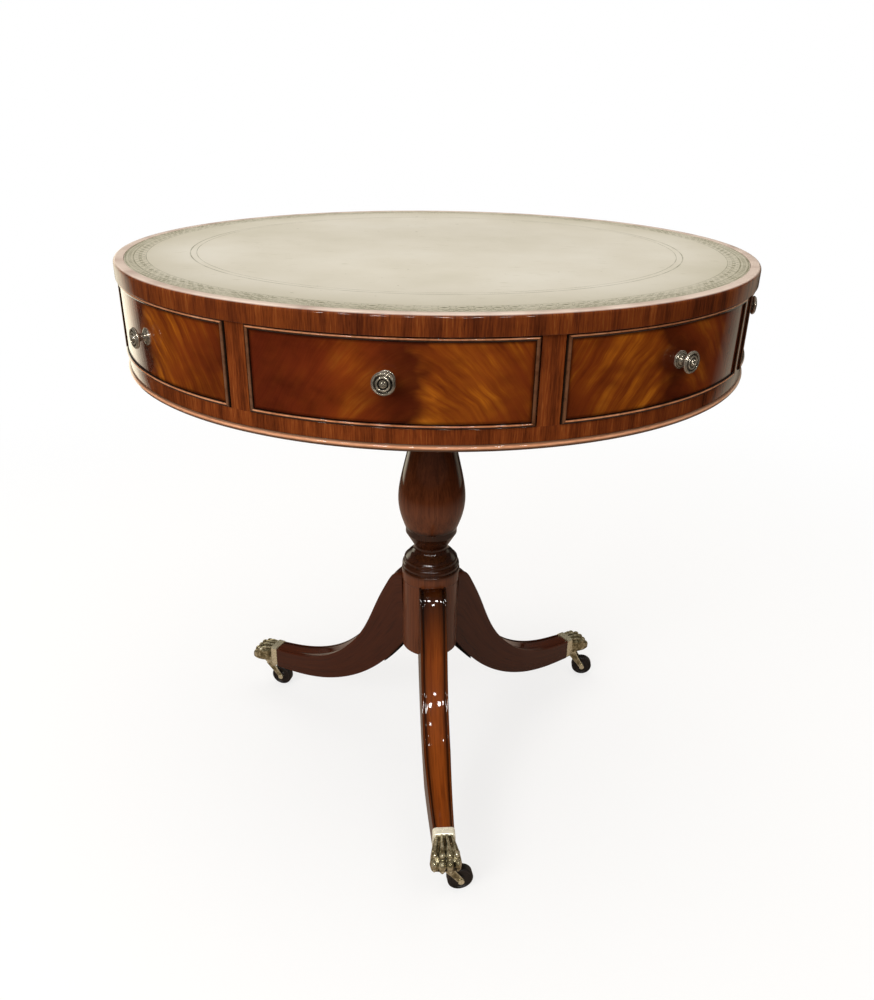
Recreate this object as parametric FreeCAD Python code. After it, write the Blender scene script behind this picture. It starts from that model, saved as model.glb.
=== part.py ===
import FreeCAD, Part
import math
import os
from FreeCAD import Vector

os.makedirs("parts", exist_ok=True)

# Revolving drum table. Millimetres, +Z up, origin on the floor under the pillar.
# Every repeated piece is first built facing -Y, then turned about Z to its place.

# Drum
table_height = 760.0
top_radius = 380.0
top_thick = 19.5
leather_radius = 367.9
leather_thick = 1.25
lip_above_leather = 0.3
face_radius = 376.0
face_thick = 16.0
drum_height = 125.0
rail_height = 21.5
rail_depth = 29.0
bead_height = 7.0
bead_proud = 2.3
panel_count = 8
opening_half = 133.6

# Drawers
front_gap = 0.7
cockbead_wide = 4.5
cockbead_deep = 8.0
board_thick = 8.0
bottom_thick = 5.0
divider_thick = 8.0
divider_half = 134.0
divider_reach = 328.0
knob_rise = 3.0
drawer_turns = {"front": 0.0, "right": 90.0, "back": 180.0, "left": 270.0}

# Pillar and pivot
hub_radius = 42.0
hub_bottom = 176.0
hub_top = 308.0
pillar_top = 610.5
block_thick = 22.0
spindle_radius = 10.0

# Legs, paws and casters
leg_turns = {"front": 10.9, "right": 130.9, "left": 250.9}
trail_turns = {"front": 108.0, "right": 92.0, "left": 82.0}
leg_end = 281.0
leg_half_in = 19.5
leg_half_mid = 18.6
leg_half_out = 13.8
leg_mid = 170.0
pintle_reach = 304.5
pintle_radius = 4.0
pintle_length = 9.0
paw_bottom = 48.0
wheel_radius = 17.0
wheel_half = 6.0
trail = 20.5

drum_bottom = table_height - drum_height
rail_top = drum_bottom + rail_height
board_bottom = table_height - top_thick
panel_mid = (rail_top + board_bottom) / 2
axis_z = Vector(0, 0, 1)
origin = Vector(0, 0, 0)


def save(node, *solids):
    shape = solids[0] if len(solids) == 1 else Part.makeCompound(list(solids))
    shape.exportStep("parts/" + node + ".step")


def turned_by(shape, degrees):
    copy = shape.copy()
    copy.rotate(origin, axis_z, degrees)
    return copy


def outline(steps, place):
    # a pair is a line, a pair of pairs an arc by way of the first, a list a smooth curve
    edges = []
    here = steps[0]
    for step in steps[1:]:
        if isinstance(step, list):
            curve = Part.BSplineCurve()
            curve.interpolate([place(*here)] + [place(*point) for point in step])
            edges.append(curve.toShape())
            here = step[-1]
        elif isinstance(step[0], tuple):
            edges.append(Part.Arc(place(*here), place(*step[0]), place(*step[1])).toShape())
            here = step[1]
        else:
            edges.append(Part.makeLine(place(*here), place(*step)))
            here = step
    if math.dist(here, steps[0]) > 1e-6:
        edges.append(Part.makeLine(place(*here), place(*steps[0])))
    return Part.Face(Part.Wire(edges))


def turned(steps):
    face = outline(steps, lambda r, z: Vector(r, 0, z))
    return face.revolve(origin, axis_z, 360)


def slab(steps, low, high):
    face = outline(steps, lambda x, y: Vector(x, y, low))
    return face.extrude(Vector(0, 0, high - low))


def profile_plate(steps, half):
    # outline in reach and height, reach measured outward along -Y
    face = outline(steps, lambda reach, z: Vector(-half, -reach, z))
    return face.extrude(Vector(2 * half, 0, 0))


def box(x0, x1, y0, y1, z0, z1):
    return Part.makeBox(x1 - x0, y1 - y0, z1 - z0, Vector(x0, y0, z0))


def cylinder(radius, low, high):
    return Part.makeCylinder(radius, high - low, Vector(0, 0, low))


def tube(inner, outer, low, high):
    return cylinder(outer, low, high).cut(cylinder(inner, low - 1, high + 1))


def hexagon(radius, low, height):
    angles = [math.radians(60 * k) for k in range(7)]
    corners = [Vector(radius * math.cos(angle), radius * math.sin(angle), low) for angle in angles]
    return Part.Face(Part.makePolygon(corners)).extrude(Vector(0, 0, height))


def front_band(inner, outer, half, low, high):
    # the part of a tube that lies in front, between two planes along the drawer's way
    return tube(inner, outer, low, high).common(box(-half, half, -outer - 1, -inner / 2, low, high))


def facing_front(shape, reach, height):
    # lays a turned piece from +Z along -Y, its base at the given reach
    copy = shape.copy()
    copy.rotate(origin, Vector(1, 0, 0), 90)
    copy.translate(Vector(0, -reach, height))
    return copy


def knob_pieces():
    height = panel_mid + knob_rise
    rose = turned([(2.9, -1), (8.8, -1), (8.8, 1.2), ((8.3, 2.0), (7.2, 2.4)), (2.9, 2.4)])
    rose = facing_front(rose, face_radius, height).cut(cylinder(face_radius, 600, 800))
    knob = turned([(0, -21.5), (2.6, -21.5), (2.6, 2.5), (4.8, 2.5), ((3.7, 6), (5.4, 10)),
                   (10.2, 11.9), ((11, 13), (10.3, 14.2)), (8.8, 14.6), ((7.7, 13.6), (6.6, 14.4)),
                   ((5.6, 15.4), (4.5, 14.6)), (4.2, 14.0), (4.0, 15.6), (2.4, 17.0), (0, 17.5)])
    nut = hexagon(5.2, -20, 3.8).cut(cylinder(2.7, -30, 0))
    return rose, facing_front(knob, face_radius, height), facing_front(nut, face_radius, height)


def panel_pieces():
    half = opening_half - front_gap
    low = rail_top + 0.3
    high = board_bottom - 0.6
    back = face_radius - face_thick
    rebate = face_radius - cockbead_deep
    wide = cockbead_wide
    face = front_band(back, rebate, half, low, high)
    face = face.fuse(front_band(rebate - 1, face_radius, half - wide, low + wide, high - wide))
    bore = facing_front(cylinder(2.8, -40, 10), face_radius, panel_mid + knob_rise)
    face = face.removeSplitter().cut(bore)
    strips = []
    for start in (low, high - wide):
        nose = ((face_radius + wide / 2, start + wide / 2), (face_radius, start + wide))
        strip = turned([(rebate, start), (face_radius, start), nose, (rebate, start + wide)])
        strips.append(strip.common(box(-half, half, -top_radius, -100, low, high)))
    for side in (-1, 1):
        near = side * (half - wide)
        far = side * half
        reach = [math.sqrt(face_radius ** 2 - x ** 2) for x in (near, far)]
        mid = ((near + far) / 2, -sum(reach) / 2 - wide / 2)
        strip = slab([(near, -reach[0]), (mid, (far, -reach[1])), (far, -300), (near, -300)],
                     low + wide, high - wide)
        strips.append(strip.cut(cylinder(rebate, low, high)))
    return face, strips


def drawer_pieces():
    outer = opening_half - front_gap - 0.8
    inner = outer - board_thick
    start = divider_half + divider_thick + 1.0
    low = rail_top + 0.3
    side_top = board_bottom - 6.0
    inside = cylinder(face_radius - face_thick, 600, 800)
    sides = [box(-outer, -inner, -350, -start, low, side_top).common(inside),
             box(inner, outer, -350, -start, low, side_top).common(inside)]
    base = box(-inner, inner, -370, -start, low + 2, low + 2 + bottom_thick).common(inside)
    back = box(-inner, inner, -start - board_thick, -start, low + 2 + bottom_thick, side_top - 2)
    return sides + [back], base


def build_drum():
    lip_in = leather_radius + 0.3
    lip_out = top_radius
    lower_edge = ((lip_out - 0.3, board_bottom + 0.3), (lip_out, board_bottom + 1))
    upper_edge = ((lip_out - 1.03, table_height - 1.03), (lip_out - 3.5, table_height))
    lip = turned([(lip_in, board_bottom), (lip_out - 1, board_bottom), lower_edge,
                  (lip_out, table_height - 3.5), upper_edge, (lip_in, table_height)])
    save("top_lipping", lip)
    leather_top = table_height - lip_above_leather
    save("top_board", cylinder(lip_in - 0.1, board_bottom, leather_top - leather_thick))
    save("leather_top", cylinder(leather_radius, leather_top - leather_thick, leather_top))

    bead_top = drum_bottom + bead_height
    rail_in = face_radius - rail_depth
    save("lower_rail", turned([(rail_in, drum_bottom), (face_radius - 8, drum_bottom),
                               (face_radius - 8, bead_top), (face_radius, bead_top),
                               (face_radius, rail_top), (rail_in, rail_top)]))
    bead_in = face_radius - 7.9
    save("base_bead", turned([(bead_in, drum_bottom), (face_radius - 1, drum_bottom),
                              ((face_radius + bead_proud, drum_bottom + bead_height / 2),
                               (face_radius - 1, bead_top)), (bead_in, bead_top)]))
    save("baseboard", tube(15.1, rail_in - 0.1, drum_bottom, rail_top))
    bore = spindle_radius + 0.06
    save("pivot_bush", turned([(bore, drum_bottom), (15, drum_bottom), (15, rail_top), (22, rail_top),
                               (22, rail_top + 2.5), (bore, rail_top + 2.5)]))

    step = 360.0 / panel_count
    post = tube(face_radius - face_thick, face_radius, rail_top, board_bottom)
    post = post.common(box(opening_half, 200, -400, 0, rail_top, board_bottom))
    keep = turned_by(box(-400, -opening_half, -400, 0, rail_top, board_bottom), step)
    post = post.common(keep)
    save("frieze_stiles", *[turned_by(post, step * k) for k in range(panel_count)])

    middle = (rail_top + board_bottom) / 2
    far = divider_half + divider_thick
    boards = []
    for side in (-1, 1):
        x0, x1 = sorted((side * divider_half, side * far))
        along = box(x0, x1, -divider_reach, divider_reach, rail_top, board_bottom)
        across = box(-divider_reach, divider_reach, x0, x1, rail_top, board_bottom)
        for other in (-1, 1):
            y0, y1 = sorted((other * divider_half, other * far))
            along = along.cut(box(x0 - 1, x1 + 1, y0 - 0.1, y1 + 0.1, middle, board_bottom + 1))
            across = across.cut(box(y0 - 0.1, y1 + 0.1, x0 - 1, x1 + 1, rail_top - 1, middle))
        boards += [along, across]
    save("divider_boards", *boards)

    face, strips = panel_pieces()
    rose, knob, nut = knob_pieces()
    false_turns = [step + 90.0 * k for k in range(4)]
    save("false_faces", *[turned_by(face, turn) for turn in false_turns])
    save("false_cockbeads", *[turned_by(strip, turn) for turn in false_turns for strip in strips])
    save("false_roses", *[turned_by(rose, turn) for turn in false_turns])
    save("false_knobs", *[turned_by(piece, turn) for turn in false_turns for piece in (knob, nut)])

    boards, base = drawer_pieces()
    for name, turn in drawer_turns.items():
        save(name + "_drawer_face", turned_by(face, turn))
        save(name + "_drawer_cockbead", *[turned_by(strip, turn) for strip in strips])
        save(name + "_drawer_box", *[turned_by(board, turn) for board in boards])
        save(name + "_drawer_bottom", turned_by(base, turn))
        save(name + "_drawer_rose", turned_by(rose, turn))
        save(name + "_drawer_knob", turned_by(knob, turn), turned_by(nut, turn))


def leg_outline():
    upper = [(62, 275), (80, 238), (98, 195), (116, 162), (138, 135), (165, 112), (200, 94), (240, 83.5),
             (leg_end, 79.5)]
    lower = [(235, 48), (185, 57.5), (140, 75), (100, 101), (66, 134), (34, 177)]
    return [(34, 293), (46, 293), upper, (leg_end, 45.5), lower]


def leg_tongue(clear):
    # dovetail that slides up into the hub from below
    corners = [(-6 - clear, -46), (6 + clear, -46), (9.5 + clear, -24 + clear), (-9.5 - clear, -24 + clear)]
    return slab(corners, hub_bottom, 284 + clear)


def leg_screw():
    # one countersunk screw, square to the sloping underside of the leg
    screw = turned([(0, 0), (4, 0), (2, 2.5), (2, 22), (0, 25)])
    screw.rotate(origin, Vector(1, 0, 0), 48)
    screw.translate(Vector(0, -63.9, 132.1))
    return screw


def leg_pieces():
    blank = profile_plate(leg_outline(), 30)
    edge = [(leg_half_in, -20), (leg_half_in, -40), (leg_half_mid, -leg_mid), (leg_half_out, -leg_end)]
    plan = slab(edge + [(-half, reach) for half, reach in reversed(edge)], 0, 400)
    leg = blank.common(plan)
    strap = blank.copy()
    strap.translate(Vector(0, 2.4, -2.2))
    strap = strap.cut(blank).common(box(-9, 9, -74, -34, 90, 174))
    leg = leg.cut(cylinder(hub_radius + 0.05, 100, 400))
    leg = leg.fuse(leg_tongue(0)).fuse(box(-9.5, 9.5, -308, -leg_end + 1, 60, 75))
    screw = leg_screw()
    return leg.removeSplitter().cut(screw), strap, screw


def paw():
    # collar round the end of the leg, then a swelling foot with four tendons, knuckles and toes;
    # behind the collar the underside steps up to seat the caster's plate
    sections = [(leg_end + 0.1, 14.8, 44.2, 81.8), (292, 14.6, 45, 81.2), (294, 14.8, paw_bottom, 80.4),
                (309, 18.4, paw_bottom, 77), (322, 19.6, paw_bottom + 2, 70)]
    wires = []
    for reach, half, low, high in sections:
        corners = [(-half, low), (half, low), (half * 0.86, high), (-half * 0.86, high)]
        wires.append(Part.makePolygon([Vector(x, -reach, z) for x, z in corners + corners[:1]]))
    foot = Part.makeLoft(wires, True, True)
    for slot in (-1.5, -0.5, 0.5, 1.5):
        set_back = 3.0 if abs(slot) > 1 else 0.0
        start = Vector(slot * 6.2, -293, 78)
        knuckle = Vector(slot * 9.4, set_back - 316, 72.5)
        toe = Vector(slot * 9.6, set_back - 323.5, 60.5)
        for near, far, radii, ball in ((start, knuckle, (2.4, 4.9), 5.5), (knuckle, toe, (4.7, 6.6), 7.3)):
            foot = foot.fuse(Part.makeCone(*radii, (far - near).Length, near, far - near))
            foot = foot.fuse(Part.makeSphere(ball, far))
    foot = foot.cut(box(-9.65, 9.65, -308.3, -leg_end + 2, 59.85, 75.15))
    bore = cylinder(pintle_radius + 0.06, paw_bottom - 1, paw_bottom + pintle_length + 1)
    bore.translate(Vector(0, -pintle_reach, 0))
    return foot.cut(bore)


def link(reach0, height0, radius0, reach1, height1, radius1, half):
    # a flat arm between two round ends, its straight edges tangent to both
    run = math.atan2(height1 - height0, reach1 - reach0)
    lean = math.acos((radius0 - radius1) / math.hypot(reach1 - reach0, height1 - height0))

    def on(reach, height, radius, angle):
        return (reach + radius * math.cos(angle), height + radius * math.sin(angle))

    steps = [on(reach0, height0, radius0, run - lean), on(reach1, height1, radius1, run - lean),
             (on(reach1, height1, radius1, run), on(reach1, height1, radius1, run + lean)),
             on(reach0, height0, radius0, run + lean),
             (on(reach0, height0, radius0, run + math.pi), on(reach0, height0, radius0, run - lean))]
    return profile_plate(steps, half)


def caster_pieces():
    # built with the pintle on the Z axis and the wheel trailing along -Y
    plate_top = paw_bottom - 0.3
    arm = link(0, plate_top - 6, 6, trail, wheel_radius, 4.2, 1.6)
    pintle = cylinder(pintle_radius, plate_top - 1, paw_bottom + pintle_length)
    horn = cylinder(9.8, plate_top - 4.5, plate_top).fuse(pintle)
    for side in (-1, 1):
        leaf = arm.copy()
        leaf.translate(Vector(side * (wheel_half + 2.0), 0, 0))
        horn = horn.fuse(leaf)
    horn = horn.removeSplitter()

    def across(shape):
        copy = shape.copy()
        copy.rotate(origin, Vector(0, 1, 0), 90)
        copy.translate(Vector(0, -trail, wheel_radius))
        return copy

    end = wheel_half + 3.7
    axle = across(turned([(0, -end - 1), (4, -end - 1), (4, -end), (3, -end), (3, end), (4, end),
                          (4, end + 1), (0, end + 1)]))
    rim = wheel_radius
    edge = wheel_half
    wheel = across(turned([(3.05, -edge), (5.5, -edge), (6.5, 1.2 - edge), (rim - 4, 1.2 - edge),
                           (rim - 3, -edge), (rim - 1.5, -edge), ((rim - 0.4, 0.6 - edge), (rim, 2 - edge)),
                           (rim, edge - 2), ((rim - 0.4, edge - 0.6), (rim - 1.5, edge)), (rim - 3, edge),
                           (rim - 4, edge - 1.2), (6.5, edge - 1.2), (5.5, edge), (3.05, edge)]))
    horn = horn.cut(across(cylinder(3, -end, end)))
    return horn, axle, wheel


def build_pedestal():
    vase = [(42.4, 389), (47.2, 413.5), (44.2, 447), (35.5, 486), (27.2, 536), (24.8, pillar_top - 40)]
    pillar = turned([(0, hub_bottom), (hub_radius - 1, hub_bottom), (hub_radius, hub_bottom + 1),
                     (hub_radius, hub_top), (41.4, hub_top + 0.8), (40, hub_top + 1.2), (40, hub_top + 2.2),
                     ((41.4, 314.6), (39.4, 319.4)), (38.2, 319.8), (38.2, 321), (38.8, 321.4), (38.4, 325),
                     (36.6, 325.8), ((33.4, 330.4), (28.8, 334.6)), ((25.4, 338.4), (24.2, 343)), (25.2, 347),
                     (35.8, 364.8), (36.6, 366), (36.6, 374), (37.6, 375.6), vase,
                     (24.8, pillar_top - 36), (29, pillar_top - 35),
                     ((31.5, pillar_top - 31), (29, pillar_top - 27)), (27, pillar_top - 26),
                     ((31, pillar_top - 10), (45, pillar_top - 5)), (46, pillar_top - 4), (46, pillar_top),
                     (0, pillar_top)])
    well = cylinder(spindle_radius + 0.1, 548, pillar_top + 1)
    pillar = pillar.cut(well)

    leg, strap_arm, screw = leg_pieces()
    slot = leg_tongue(0.12)
    strap = cylinder(35.5, hub_bottom - 3, hub_bottom)
    foot = paw()
    horn, axle, wheel = caster_pieces()
    screws = []
    for name, turn in leg_turns.items():
        pillar = pillar.cut(turned_by(slot, turn))
        strap = strap.fuse(turned_by(strap_arm, turn))
        screws.append(turned_by(screw, turn))
        save(name + "_leg", turned_by(leg, turn))
        save(name + "_paw", turned_by(foot, turn))
        pintle = turned_by(Part.Vertex(0, -pintle_reach, 0), turn).Point
        for piece, shape in (("_caster_horn", horn), ("_caster_axle", axle), ("_caster_wheel", wheel)):
            placed = turned_by(shape, trail_turns[name])
            placed.translate(pintle)
            save(name + piece, placed)
    middle = turned([(0, hub_bottom - 3), (4, hub_bottom - 3), (2, hub_bottom - 0.5), (2, 196), (0, 199)])
    screws.append(middle)
    save("pillar", pillar.cut(middle))
    for piece in screws:
        strap = strap.cut(piece)
    save("tripod_strap", strap.removeSplitter())
    save("strap_screws", *screws)

    block_top = pillar_top + block_thick
    hollow = ((102.8, pillar_top + 3.3), (110, pillar_top + 12))
    save("bearing_block", turned([(spindle_radius + 0.1, pillar_top), (92, pillar_top), hollow,
                                  (114, pillar_top + 12), (115, pillar_top + 13), (115, block_top - 2),
                                  (113, block_top), (spindle_radius + 0.1, block_top)]))
    save("thrust_ring", tube(78, 96, block_top, drum_bottom - 0.3))
    save("spindle", turned([(0, 548), (spindle_radius, 548), (spindle_radius, 684),
                            (spindle_radius - 1.5, 686), (0, 686)]))
    washer_low = rail_top + 2.8
    save("spindle_washer", tube(spindle_radius + 0.1, 24, washer_low, washer_low + 2.5))
    nut = hexagon(17, washer_low + 2.5, 14)
    save("spindle_nut", nut.cut(cylinder(spindle_radius + 0.05, 600, 800)))


build_drum()
build_pedestal()
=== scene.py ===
import math
import bmesh
import bpy
import numpy as np
from mathutils import Matrix


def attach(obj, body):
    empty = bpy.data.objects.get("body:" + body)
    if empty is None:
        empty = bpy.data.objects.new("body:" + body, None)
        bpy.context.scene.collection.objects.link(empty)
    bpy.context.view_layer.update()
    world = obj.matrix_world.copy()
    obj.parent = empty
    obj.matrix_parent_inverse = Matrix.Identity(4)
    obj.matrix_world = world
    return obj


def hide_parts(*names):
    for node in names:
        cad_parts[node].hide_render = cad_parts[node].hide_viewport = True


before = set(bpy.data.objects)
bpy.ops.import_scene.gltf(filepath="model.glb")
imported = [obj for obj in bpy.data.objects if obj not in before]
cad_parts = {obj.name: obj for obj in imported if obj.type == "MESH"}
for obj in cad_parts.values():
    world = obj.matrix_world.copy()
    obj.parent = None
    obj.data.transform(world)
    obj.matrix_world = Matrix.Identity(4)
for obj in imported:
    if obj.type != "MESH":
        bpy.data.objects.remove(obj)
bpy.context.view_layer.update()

print("frame loaded,", len(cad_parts), "nodes")

# all sizes below are millimetres on the real table; addPiece turns them to metres
drum = {"faceRadius": 376.0, "bottom": 635.0, "railTop": 656.5, "boardBottom": 740.5, "height": 760.0,
        "openingHalf": 133.6, "panels": 8, "panelMiddle": 698.5}
drawerTurns = {"front": 0.0, "right": 90.0, "back": 180.0, "left": 270.0}
legTurns = {"front": 10.9, "right": 130.9, "left": 250.9}
trailTurns = {"front": 108.0, "right": 92.0, "left": 82.0}


# shape helpers

def arcThrough(a, b, c, count):  # circle through three points, swept from a to c by way of b
    za, zb, zc = complex(*a), complex(*b), complex(*c)
    w = (zc - za) / (zb - za)
    centre = (zb - za) * (w - abs(w) ** 2) / (2j * w.imag) + za
    full = 2 * math.pi
    toB = np.angle((zb - centre) / (za - centre)) % full
    toC = np.angle((zc - centre) / (za - centre)) % full
    sweep = toC if toB <= toC else toC - full
    ring = centre + (za - centre) * np.exp(1j * np.linspace(0, sweep, count))
    return np.stack([ring.real, ring.imag], 1)


def cubicThrough(points, count):  # natural cubic spline by chord length, sampled evenly
    p = np.array(points, float)
    t = np.r_[0, np.cumsum(np.linalg.norm(np.diff(p, axis=0), axis=1))]
    h = np.diff(t)
    i = np.arange(1, len(p) - 1)
    bend = np.eye(len(p))
    bend[i, i - 1] = h[i - 1]
    bend[i, i] = 2 * (h[i - 1] + h[i])
    bend[i, i + 1] = h[i]
    slope = np.diff(p, axis=0) / h[:, None]
    pull = np.zeros_like(p)
    pull[i] = 6 * (slope[i] - slope[i - 1])
    m = np.linalg.solve(bend, pull)
    s = np.linspace(0, t[-1], count)
    k = np.clip(np.searchsorted(t, s) - 1, 0, len(h) - 1)
    u = ((t[k + 1] - s) / h[k])[:, None]
    v = 1 - u
    return u * p[k] + v * p[k + 1] + ((u ** 3 - u) * m[k] + (v ** 3 - v) * m[k + 1]) * (h[k] ** 2 / 6)[:, None]


def drawProfile(steps):  # a pair is a line, a pair of pairs an arc by way of the first, a list a smooth curve
    points = [steps[0]]
    for step in steps[1:]:
        if isinstance(step, list):
            points += cubicThrough([points[-1]] + step, 14 * len(step))[1:].tolist()
        elif isinstance(step[0], tuple):
            points += arcThrough(points[-1], step[0], step[1], 9)[1:].tolist()
        else:
            points.append(step)
    return np.array(points, float)


def easeCorners(points, size, closed):  # each sharp corner becomes a small parabola between its two edges
    eased = []
    total = len(points)
    for k in range(total):
        here, before, after = points[k], points[k - 1], points[(k + 1) % total]
        if not closed and k in (0, total - 1):
            eased.append(here)
            continue
        a, b = before - here, after - here
        la, lb = np.linalg.norm(a), np.linalg.norm(b)
        if a @ b / (la * lb) < -0.93:
            eased.append(here)
            continue
        start = here + a / la * min(size, la * 0.45)
        end = here + b / lb * min(size, lb * 0.45)
        t = np.linspace(0, 1, 5)[:, None]
        eased += list((1 - t) ** 2 * start + 2 * t * (1 - t) * here + t ** 2 * end)
    return np.array(eased)


def gridPart(points, uv, wrapRow=False, wrapCol=False):  # quads between neighbours of a point grid
    rows, cols = points.shape[:2]
    i, j = np.meshgrid(np.arange(rows - (not wrapRow)), np.arange(cols - (not wrapCol)), indexing="ij")
    i2, j2 = (i + 1) % rows, (j + 1) % cols
    faces = np.stack([i * cols + j, i * cols + j2, i2 * cols + j2, i2 * cols + j], -1).reshape(-1, 4)
    corners = np.stack([uv[i, j], uv[i, j + 1], uv[i + 1, j + 1], uv[i + 1, j]], -2).reshape(-1, 2)
    return points.reshape(-1, 3), faces.tolist(), corners


def capped(part, points, uv):  # closes both ends of a swept closed section with one face each
    verts, faces, corners = part
    rows, cols = points.shape[:2]
    first = [i * cols for i in range(rows)]
    last = [i * cols + cols - 1 for i in range(rows)][::-1]
    ends = np.concatenate([uv[:rows, 0], uv[:rows, cols - 1][::-1]])
    return verts, faces + [first, last], np.concatenate([corners, ends])


def turnedPart(profile, sides, closed=False):  # profile of radius and height carried round the Z axis
    a = np.linspace(0, 2 * np.pi, sides + 1)
    ring = np.stack([np.sin(a[:-1]), -np.cos(a[:-1])], -1)
    r, z = profile.T
    points = np.concatenate([r[:, None, None] * ring, np.repeat(z[:, None, None], sides, 1)], -1)
    loop = np.concatenate([profile, profile[:1]]) if closed else profile
    along = np.r_[0, np.cumsum(np.linalg.norm(np.diff(loop, axis=0), axis=1))]
    uv = np.stack(np.broadcast_arrays(a * r.max(), along[:, None]), -1)
    return gridPart(points, uv, closed, True)


def faceFront(part, reach, height):  # lays a turned part from +Z along -Y, base at the given reach
    v, faces, uv = part
    return np.stack([v[:, 0], -v[:, 2] - reach, v[:, 1] + height], 1), faces, uv


def laidAlongX(part):  # turns the axis of a turned part from +Z to +X
    return part[0][:, [2, 0, 1]], part[1], part[2]


def shifted(part, x, y, z):  # moved by mm
    return part[0] + np.array([x, y, z]), part[1], part[2]


def turnedAbout(part, degrees):  # turned round the table's axis, counter-clockwise from above
    a = math.radians(degrees)
    x, y, z = part[0].T
    return np.stack([x * math.cos(a) - y * math.sin(a), x * math.sin(a) + y * math.cos(a), z], 1), part[1], part[2]


def bandPart(section, half, steps, taper=None):  # a section of radius and height, carried sideways round the drum
    t = np.linspace(-1, 1, steps)
    r, z = section[:, 0][:, None], section[:, 1][:, None]
    x = t * (half if taper is None else taper(r))
    points = np.stack(np.broadcast_arrays(x, -np.sqrt(r ** 2 - x ** 2), z), -1)
    uv = np.stack(np.broadcast_arrays(x, z - drum["panelMiddle"]), -1)
    uv = np.concatenate([uv, uv[:1]])
    return capped(gridPart(points, uv, True, False), points, uv)


def meshFrom(name, parts):  # one mesh of all the parts in metres, doubles merged and faces turned outwards
    verts, faces, corners, base = [], [], [], 0
    for v, f, uv in parts:
        verts.append(v)
        faces += [[k + base for k in face] for face in f]
        corners.append(uv)
        base += len(v)
    mesh = bpy.data.meshes.new(name)
    mesh.from_pydata(np.concatenate(verts) * 0.001, [], faces)
    mesh.uv_layers.new(name="UVMap").data.foreach_set("uv", (np.concatenate(corners) * 0.001).ravel())
    bm = bmesh.new()
    bm.from_mesh(mesh)
    bmesh.ops.remove_doubles(bm, verts=bm.verts, dist=1e-6)
    bmesh.ops.recalc_face_normals(bm, faces=bm.faces)
    bm.to_mesh(mesh)
    bm.free()
    return mesh


def addPiece(name, parts, material, body, stands, sharp=38):  # a finished piece, on its body and for its nodes
    mesh = meshFrom(name, parts)
    mesh.polygons.foreach_set("use_smooth", np.ones(len(mesh.polygons), bool))
    mesh.set_sharp_from_angle(angle=math.radians(sharp))
    mesh.materials.append(material)
    obj = bpy.data.objects.new(name, mesh)
    bpy.context.collection.objects.link(obj)
    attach(obj, body)
    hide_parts(*stands)


# materials

def hexLinear(code):  # sRGB hex to linear light
    s = np.array([int(code[k:k + 2], 16) for k in (1, 3, 5)]) / 255
    return (*np.where(s <= 0.04045, s / 12.92, ((s + 0.055) / 1.055) ** 2.4).tolist(), 1.0)


def addNode(tree, kind, *values, inputs=None, stops=(), **settings):
    # one node: its settings, then values or links in the order of its sockets or by their names; gives its first output
    node = tree.nodes.new("ShaderNode" + kind)
    for key, value in settings.items():
        setattr(node, key, value)
    if stops:
        elements = node.color_ramp.elements
        while len(elements) < len(stops):
            elements.new(0.5)
        for element, (place, colour) in zip(elements, stops):
            element.position = place
            element.color = hexLinear(colour) if isinstance(colour, str) else (colour, colour, colour, 1)
    openSockets = [socket for socket in node.inputs if socket.enabled]
    named = [(node.inputs[key], value) for key, value in (inputs or {}).items()]
    for socket, value in list(zip(openSockets, values)) + named:
        if isinstance(value, bpy.types.NodeSocket):
            tree.links.new(value, socket)
        else:
            socket.default_value = value
    return next((socket for socket in node.outputs if socket.enabled), None)


blend = {"data_type": "RGBA"}  # settings of a Mix node for colours
multiply = {**blend, "blend_type": "MULTIPLY"}


def newMaterial(name, values):  # a Principled shader with its fixed values on its own sockets
    material = bpy.data.materials.new(name)
    material.use_nodes = True
    tree = material.node_tree
    tree.nodes.clear()
    shader = addNode(tree, "BsdfPrincipled", inputs=values)
    addNode(tree, "OutputMaterial", shader)
    return material, tree, shader.node


def dressShader(tree, shader, colour, height=None, strength=0, depth=0, rough=None):
    # joins colour, roughness and a relief of a depth in mm
    tree.links.new(colour, shader.inputs["Base Color"])
    if rough:
        tree.links.new(rough, shader.inputs["Roughness"])
    if height:
        relief = addNode(tree, "Bump", inputs={"Strength": strength, "Distance": depth / 1000, "Height": height})
        tree.links.new(relief, shader.inputs["Normal"])


still = (0, 0, 0)  # a layer that no seed shifts


def noiseLayers(tree, source, seed, *layers):
    # clouds of noise, each stretched to a size in mm and shifted by the seed: size, shift, detail, roughness
    made = []
    for size, shift, detail, rough in layers:
        scale = tuple(1000 / s for s in np.broadcast_to(size, 3).tolist())
        spot = addNode(tree, "Mapping", source, tuple(seed * s for s in shift), still, scale)
        made.append(addNode(tree, "TexNoise", spot, 1.0, detail, rough))
    return made


def woodTones(tree, source, grain, seed, stops):
    # long streaks, wide clouds and short dark pores, all stretched along the grain
    grain = np.array(grain)
    streak, cloud, pore = noiseLayers(
        tree, source, seed, (grain, (7.1, 3.3, 1), 4.0, 0.6),
        (grain * 25 / 3, (2.7, 1, 5.9), 2.0, 0.5), (grain * 5 / 13, (1, 4.1, 0), 1.0, 0.5))
    streak.node.inputs["Distortion"].default_value = 0.4
    mixed = addNode(tree, "Mix", 0.5, streak, cloud, data_type="FLOAT")
    tone = addNode(tree, "ValToRGB", mixed, stops=stops)
    dark = addNode(tree, "ValToRGB", pore, stops=[(0.34, 0.55), (0.46, 1.0)])
    return addNode(tree, "Mix", 0.55, tone, dark, **multiply), mixed


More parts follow.
